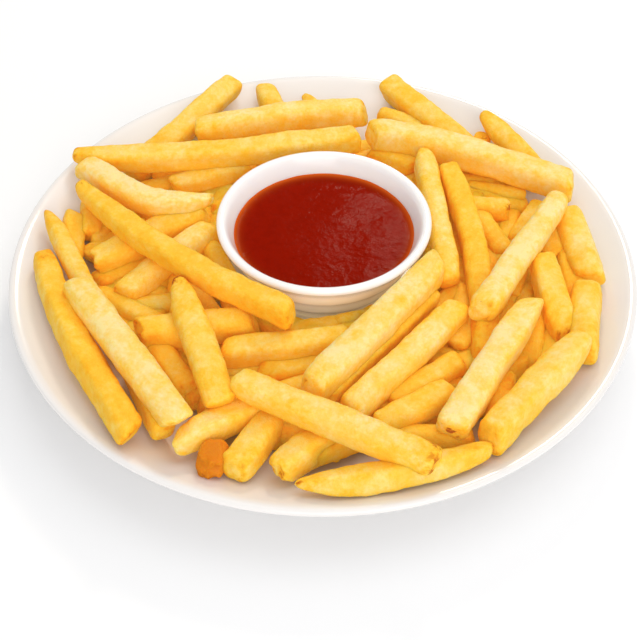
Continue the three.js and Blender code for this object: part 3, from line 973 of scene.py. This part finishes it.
def fry_points(fry, seed, sides, step):
    """A fry's uneven skin: points, faces, and what its material reads at each point."""
    along = fry_stops(fry.length, step)
    t = along / fry.length
    a, b, size = fry_sections(fry, seed, along, sides)
    relief, blister = fried_relief(seed, along, a, b)
    swell = 1 + relief * size / np.hypot(a, b)
    a, b = a * swell, b * swell

    twist = MOST_TWIST * noise_along(seed + 12, along, 34)
    points = place_section(fry, t, a, b, lie_over(fry) + twist[:, None])
    sway = MOST_SWAY * noise_along(seed + 15, along, 26)
    way = travel(fry, t)
    points[..., 0] -= (way[:, 1] * sway)[:, None]
    points[..., 1] += (way[:, 0] * sway)[:, None]
    points[..., 2] += lift_clear(fry)
    cut_ends(fry, seed, points, along, a, b)

    places = np.stack([np.repeat(along[:, None], sides, 1), a, b], -1)
    last = len(along) - 1
    faces = []
    for i in range(last):
        faces += ring_faces(i * sides, (i + 1) * sides, sides)
    vertices, placed = points.reshape(-1, 3), places.reshape(-1, 3)
    brown = browned_skin(fry, along, a, b, blister).ravel()
    for end, inward in ((0, 1), (last, -1)):
        closing = close_end(seed, end, inward, points, places, len(vertices))
        vertices = np.vstack([vertices, closing[0]])
        placed = np.vstack([placed, closing[1]])
        brown = np.concatenate([brown, closing[2]])
        faces += closing[3]
    if signed_volume(vertices, faces) < 0:
        faces = [tuple(reversed(f)) for f in faces]
    return vertices, faces, placed + seed * 31.7, add_spots(fry, vertices, brown)


RAYS = 10
RAY_REACH = 15.0
RAY_LIFT = 0.3
FAR_LOSS = 0.5


def ways_all_round(count):
    """Ways that are spread evenly all round a point."""
    index = np.arange(count) + 0.5
    lean = np.arccos(1 - 2 * index / count)
    around = math.pi * (1 + math.sqrt(5)) * index
    return np.stack([np.cos(around) * np.sin(lean), np.sin(around) * np.sin(lean), np.cos(lean)], -1)


def mark_crevices(*pieces):
    """Keeps for each point how closely fries shut it in, from 0 to 1, and how far it faces up: the masks
    of the painted shade and the painted glow of the fries.
    """
    vertices, normals, faces, counts = [], [], [], []
    total = 0
    for piece in pieces:
        mesh = piece.data
        flat = np.empty(len(mesh.vertices) * 3, np.float32)
        mesh.vertices.foreach_get("co", flat)
        vertices.append(flat.reshape(-1, 3) / MM)
        mesh.vertices.foreach_get("normal", flat)
        normals.append(flat.reshape(-1, 3).copy())
        faces += [tuple(k + total for k in face.vertices) for face in mesh.polygons]
        counts.append(len(mesh.vertices))
        total += counts[-1]
    vertices, normals = np.vstack(vertices), np.vstack(normals)
    tree = BVHTree.FromPolygons(vertices.tolist(), faces)
    rays = ways_all_round(RAYS)
    facing = normals @ rays.T
    starts = vertices + normals * RAY_LIFT
    shut = np.zeros(total)
    for k in range(total):
        start = Vector(starts[k])
        for ray, dot in zip(rays, facing[k]):
            hit = tree.ray_cast(start, Vector(ray if dot > 0 else -ray), RAY_REACH)
            if hit[0] is not None:
                shut[k] += abs(dot) * (1 - hit[3] / RAY_REACH * FAR_LOSS)
    shut /= np.maximum(np.abs(facing).sum(1), 1e-6)
    first = 0
    for piece, count in zip(pieces, counts):
        set_values(piece, "fry_shut_in", shut[first:first + count])
        set_values(piece, "fry_up", normals[first:first + count, 2])
        first += count


TOP_SEED = 1
TOP_SIDES = 32
UNDER_SEED = 200
UNDER_SIDES = 20
UNDER_STEP = 1.8


def make_heap(name, fries, first_seed, sides, step):
    """Many fries as one joined mesh."""
    vertices, faces, places, brown, tone = [], [], [], [], []
    count = 0
    for i, fry in enumerate(fries):
        v, f, p, b = fry_points(fry, first_seed + i, sides, step)
        vertices.append(v)
        faces += [tuple(k + count for k in face) for face in f]
        places.append(p)
        brown.append(b)
        tone.append(np.full(len(v), fry.tone))
        count += len(v)
    piece = mesh_object(name, np.vstack(vertices), faces)
    set_values(piece, "fry_place", np.vstack(places))
    set_values(piece, "fry_brown", np.concatenate(brown))
    set_values(piece, "fry_tone", np.concatenate(tone))
    return piece


WIDE_PATCHES = (0.1, 0.32, 0.68)
SMALL_PATCHES = (0.36, 0.3, 0.7)
GRAIN = (0.95, 0.25, 0.75)
FINE_GRAIN = (2.1, 0.25, 0.75)
SPECKS = (0.55, 0.735, 0.79)
DARK_TONE = 1.6
BURNT = 0.95
# Colour and strength of a painted glow, an emission, that lightens the shade between fries
PAINTED_FRY_GLOW = (1.0, 0.62, 0.12)
PAINTED_FRY_GLOW_SHARE = 0.2


def fried_potato(look):
    """Fried potato: pale dry patches, golden crust, browned edges and ends, a few specks, painted shade
    on the sides and between fries, and a painted glow in the crevices.
    """
    material, tree, shader = principled("fry_skin")
    place = read_values(tree, "fry_place", "Vector")
    tone = read_values(tree, "fry_tone")
    shut_in = read_values(tree, "fry_shut_in")

    # Pale and golden in patches, with painted shade: paler where the skin faces up, deeper on the sides
    # and between fries
    side = math_node(tree, "SUBTRACT", 0.9, read_values(tree, "fry_up"), clamp=True)
    wide = patches(tree, place, *WIDE_PATCHES)
    small = patches(tree, place, *SMALL_PATCHES)
    grain = patches(tree, place, *GRAIN)
    brown = read_values(tree, "fry_brown")
    uneven = math_node(tree, "MULTIPLY", brown, math_node(tree, "ADD", small, 0.35))
    fried = weigh(tree, (tone, 0.22), (wide, 0.25), (small, 0.16), (grain, 0.14), (side, 0.06),
                  (shut_in, 0.42), (uneven, 0.3))
    colour = ramp(tree, fried, (
        (0.0, look.pale), (0.27, look.light), (0.5, look.golden), (0.74, look.deep), (1.0, look.orange)))

    # Browned where a fry or a place on it is fried the most, and in specks
    dark = math_node(tree, "MULTIPLY", math_node(tree, "SUBTRACT", tone, DARK_TONE, clamp=True), 0.42)
    burnt = math_node(tree, "SUBTRACT", uneven, BURNT, clamp=True)
    colour = mix_colours(tree, math_node(tree, "ADD", burnt, dark, clamp=True), colour, look.browned)
    specks = math_node(tree, "MULTIPLY", patches(tree, place, *SPECKS), 0.5)
    colour = mix_colours(tree, specks, colour, look.browned)

    vary_roughness(tree, shader, small, 0.4, 0.62)
    fill(shader, {
        "Base Color": colour, "IOR": 1.42, "Specular IOR Level": 0.2,
        "Subsurface Weight": look.glow, "Subsurface Radius": (1.0, 0.6, 0.2), "Subsurface Scale": 3 * MM})
    # Painted glow: emission strongest part way into the crevices, in place of light that comes through
    # the potato
    painted_glow_mask = math_node(tree, "MULTIPLY", shut_in, math_node(tree, "SUBTRACT", 1.15, shut_in))
    paint_glow(tree, shader, painted_glow_mask, PAINTED_FRY_GLOW, PAINTED_FRY_GLOW_SHARE)
    fine = patches(tree, place, *FINE_GRAIN)
    add_bump(tree, shader, weigh(tree, (grain, 0.6), (fine, 0.5)), 0.6, 0.3)
    return material


# Stage

def make_floor(colour, glow):
    """A wide plain floor that is lit a little from below."""
    corners = [(x, y, 0) for x, y in ((-1, -1), (1, -1), (1, 1), (-1, 1))]
    piece = mesh_object("floor", np.array(corners) * FLOOR_HALF / MM, [(0, 1, 2, 3)])
    material, tree, shader = principled("floor")
    place = surface_place(tree)
    tint = mix_colours(tree, patches(tree, place, *FLOOR_PATCHES), colour, darker(colour, 0.99))
    fill(shader, {
        "Base Color": tint, "Roughness": 0.9, "Specular IOR Level": 0.1,
        "Emission Color": (*WHITE, 1.0), "Emission Strength": glow})
    piece.data.materials.append(material)


def make_light(name, power, place, target=MIDDLE, size=SOFT_LIGHT_SIZE, colour=WHITE):
    """A square soft light that faces its target."""
    data = bpy.data.lights.new(name, "AREA")
    data.color = colour
    data.shape = "SQUARE"
    data.size = size
    data.energy = power
    light = bpy.data.objects.new(name, data)
    light.location = place
    light.rotation_mode = "QUATERNION"
    light.rotation_quaternion = (Vector(target) - Vector(place)).to_track_quat("-Z", "Y")
    bpy.context.scene.collection.objects.link(light)


def make_room(scene, strength):
    """Even pale light from all round."""
    world = bpy.data.worlds.new("room")
    world.use_nodes = True
    fill(world.node_tree.nodes["Background"], {"Color": (*WHITE, 1.0), "Strength": strength})
    scene.world = world


def make_camera(scene):
    """The camera, above the near side and looking down on the plate."""
    data = bpy.data.cameras.new("camera")
    data.sensor_width = SENSOR_MM
    data.lens = LENS_MM
    data.clip_start = 0.01
    camera = bpy.data.objects.new("camera", data)
    camera.location = Vector(EYE) * MM
    ahead = Vector((math.sin(LOOK_ASIDE) * math.cos(LOOK_DOWN),
                    math.cos(LOOK_ASIDE) * math.cos(LOOK_DOWN), -math.sin(LOOK_DOWN)))
    camera.rotation_mode = "QUATERNION"
    camera.rotation_quaternion = ahead.to_track_quat("-Z", "Y")
    scene.collection.objects.link(camera)
    scene.camera = camera


# Settings

def colour_property(name, description, default):
    """A colour that a user may change."""
    return bpy.props.FloatVectorProperty(
        name=name, description=description, subtype="COLOR", size=3, min=0.0, max=1.0, default=default)


def amount_property(name, description, default, low=0.0, **settings):
    """An amount that a user may change."""
    return bpy.props.FloatProperty(
        name=name, description=description, default=default, min=low, **settings)


class PorcelainSettings(bpy.types.PropertyGroup):
    """How the plate and the ramekin look."""
    plate: colour_property("Plate glaze", "Colour of the plate's glaze", (0.84, 0.81, 0.785))
    ramekin: colour_property("Ramekin glaze", "Colour of the ramekin's glaze", (0.97, 0.955, 0.93))
    shine: amount_property(
        "Glaze roughness", "How dull the glaze is", 0.12, low=0.02, max=0.6, subtype="FACTOR")
    # The ramekin glow sets the glaze's subsurface weight and also the strength of the painted glow on its
    # outside wall
    glow: amount_property(
        "Ramekin glow", "How much light passes through the thin wall", 0.6, max=1.0, subtype="FACTOR")


class KetchupSettings(bpy.types.PropertyGroup):
    """How the ketchup looks."""
    body: colour_property("Ketchup", "Colour of the ketchup where it is deep", (0.245, 0.0062, 0.0006))
    film: colour_property("Thin edge", "Its colour where it thins at the wall", (0.72, 0.12, 0.012))


class FriesSettings(bpy.types.PropertyGroup):
    """How the fries look."""
    pale: colour_property("Pale", "Dry, hardly fried skin", (0.97, 0.74, 0.32))
    light: colour_property("Light", "Lightly fried skin", (0.97, 0.64, 0.13))
    golden: colour_property("Golden", "Well fried skin", (0.97, 0.56, 0.045))
    # The deep and orange colours are also where the painted shade on the sides and between fries leads
    deep: colour_property("Deep", "Skin on the sides and between fries", (0.96, 0.48, 0.018))
    orange: colour_property("Orange", "Edges, ends and tips", (0.92, 0.33, 0.006))
    browned: colour_property("Browned", "Specks and burnt spots", (0.42, 0.07, 0.004))
    glow: amount_property(
        "Glow", "How much light passes under the skin", 0.6, max=1.0, subtype="FACTOR")
    step: amount_property(
        "Ring step", "Length of one step of the mesh along a fry", 1.7 * MM, low=0.8 * MM,
        max=6 * MM, unit="LENGTH", precision=4)


class StageSettings(bpy.types.PropertyGroup):
    """The floor and the light."""
    floor: colour_property("Floor", "Colour of the floor", (0.93, 0.93, 0.935))
    floor_glow: amount_property("Floor glow", "Light that comes up through the floor", 0.01)
    top_light: amount_property("Top light", "Power of the soft light overhead", 3.8, unit="POWER")
    front_light: amount_property("Front light", "Power of the soft light in front", 8.6, unit="POWER")
    back_light: amount_property("Back light", "Power of the small light behind", 1.5, unit="POWER")
    room: amount_property("Room light", "Brightness of the room all round", 0.6)


class PortionSettings(bpy.types.PropertyGroup):
    """All the settings of the plate of fries."""
    porcelain: bpy.props.PointerProperty(type=PorcelainSettings)
    ketchup: bpy.props.PointerProperty(type=KetchupSettings)
    fries: bpy.props.PointerProperty(type=FriesSettings)
    stage: bpy.props.PointerProperty(type=StageSettings)


# Operators

class FRIES_OT_make_plate(bpy.types.Operator):
    """Make the white coupe plate"""
    bl_idname = "fries.make_plate"
    bl_label = "Make Plate"

    def execute(self, context):
        look = context.scene.fries_portion.porcelain
        piece = spin("plate_porcelain", plate_outline(), PLATE_STEPS)
        material = porcelain("plate_porcelain", tuple(look.plate), look.shine, 0.0)
        dress(piece, material, "plate_glaze", "plate")
        return {"FINISHED"}


class FRIES_OT_make_ramekin(bpy.types.Operator):
    """Make the ramekin with its stepped rings"""
    bl_idname = "fries.make_ramekin"
    bl_label = "Make Ramekin"

    def execute(self, context):
        look = context.scene.fries_portion.porcelain
        piece = spin("ramekin_porcelain", ramekin_outline(), RAMEKIN_STEPS, RAMEKIN_CENTRE)
        mark_painted_glow(piece)
        material = porcelain("ramekin_porcelain", tuple(look.ramekin), look.shine, look.glow)
        dress(piece, material, "ramekin_glaze", "ramekin")
        return {"FINISHED"}


class FRIES_OT_make_ketchup(bpy.types.Operator):
    """Fill the ramekin with ketchup"""
    bl_idname = "fries.make_ketchup"
    bl_label = "Make Ketchup"

    def execute(self, context):
        look = context.scene.fries_portion.ketchup
        material = ketchup_material(tuple(look.body), tuple(look.film))
        dress(make_ketchup_mesh(), material, "ketchup", "ketchup")
        return {"FINISHED"}


class FRIES_OT_make_fries(bpy.types.Operator):
    """Lay the fries that show, and those underneath on the plate"""
    bl_idname = "fries.make_fries"
    bl_label = "Make Fries"

    def execute(self, context):
        look = context.scene.fries_portion.fries
        step = look.step / MM
        shown = BACK_LEFT + LEFT + FRONT_LEFT + FRONT_RIGHT + RIGHT + BACK_RIGHT
        hidden = lay_round(FILLER) + lay_round(BED) + lay_round(COLLAR) + TUCKED_IN
        top = make_heap("fries_top", shown, TOP_SEED, TOP_SIDES, step)
        under = make_heap("fries_under", hidden, UNDER_SEED, UNDER_SIDES, step * UNDER_STEP)
        mark_crevices(top, under)
        material = fried_potato(look)
        for piece in (top, under):
            dress(piece, material, "fried_potato", "fries")
        return {"FINISHED"}


class FRIES_OT_make_stage(bpy.types.Operator):
    """Set up the floor, the soft light and the camera"""
    bl_idname = "fries.make_stage"
    bl_label = "Make Stage"

    def execute(self, context):
        look = context.scene.fries_portion.stage
        make_floor(tuple(look.floor), look.floor_glow)
        make_light("top_light", look.top_light, TOP_LIGHT_PLACE)
        make_light("front_light", look.front_light, FRONT_LIGHT_PLACE)
        make_light("back_light", look.back_light, BACK_LIGHT_PLACE, BACK_LIGHT_TARGET,
                   BACK_LIGHT_SIZE, WARM)
        make_room(context.scene, look.room)
        make_camera(context.scene)
        context.scene.view_settings.view_transform = "Standard"
        return {"FINISHED"}


class FRIES_PT_portion(bpy.types.Panel):
    """Lists the pieces of the plate of fries"""
    bl_idname = "FRIES_PT_portion"
    bl_label = "Plate of Fries"
    bl_space_type = "VIEW_3D"
    bl_region_type = "UI"
    bl_category = "Fries"

    def draw(self, context):
        settings = context.scene.fries_portion
        for operator in OPERATORS:
            self.layout.operator(operator.bl_idname)
        for group in (settings.porcelain, settings.ketchup, settings.fries, settings.stage):
            box = self.layout.box()
            for name in group.__annotations__:
                box.prop(group, name)


OPERATORS = (
    FRIES_OT_make_plate, FRIES_OT_make_ramekin, FRIES_OT_make_ketchup,
    FRIES_OT_make_fries, FRIES_OT_make_stage,
)
GROUPS = (PorcelainSettings, KetchupSettings, FriesSettings, StageSettings, PortionSettings)


def register():
    for cls in (*GROUPS, *OPERATORS, FRIES_PT_portion):
        bpy.utils.register_class(cls)
    bpy.types.Scene.fries_portion = bpy.props.PointerProperty(type=PortionSettings)


def unregister():
    del bpy.types.Scene.fries_portion
    for cls in (FRIES_PT_portion, *reversed(OPERATORS), *reversed(GROUPS)):
        bpy.utils.unregister_class(cls)


def main():
    register()
    bpy.ops.fries.make_plate()
    bpy.ops.fries.make_ramekin()
    bpy.ops.fries.make_ketchup()
    bpy.ops.fries.make_fries()
    bpy.ops.fries.make_stage()


if __name__ == "__main__":
    main()
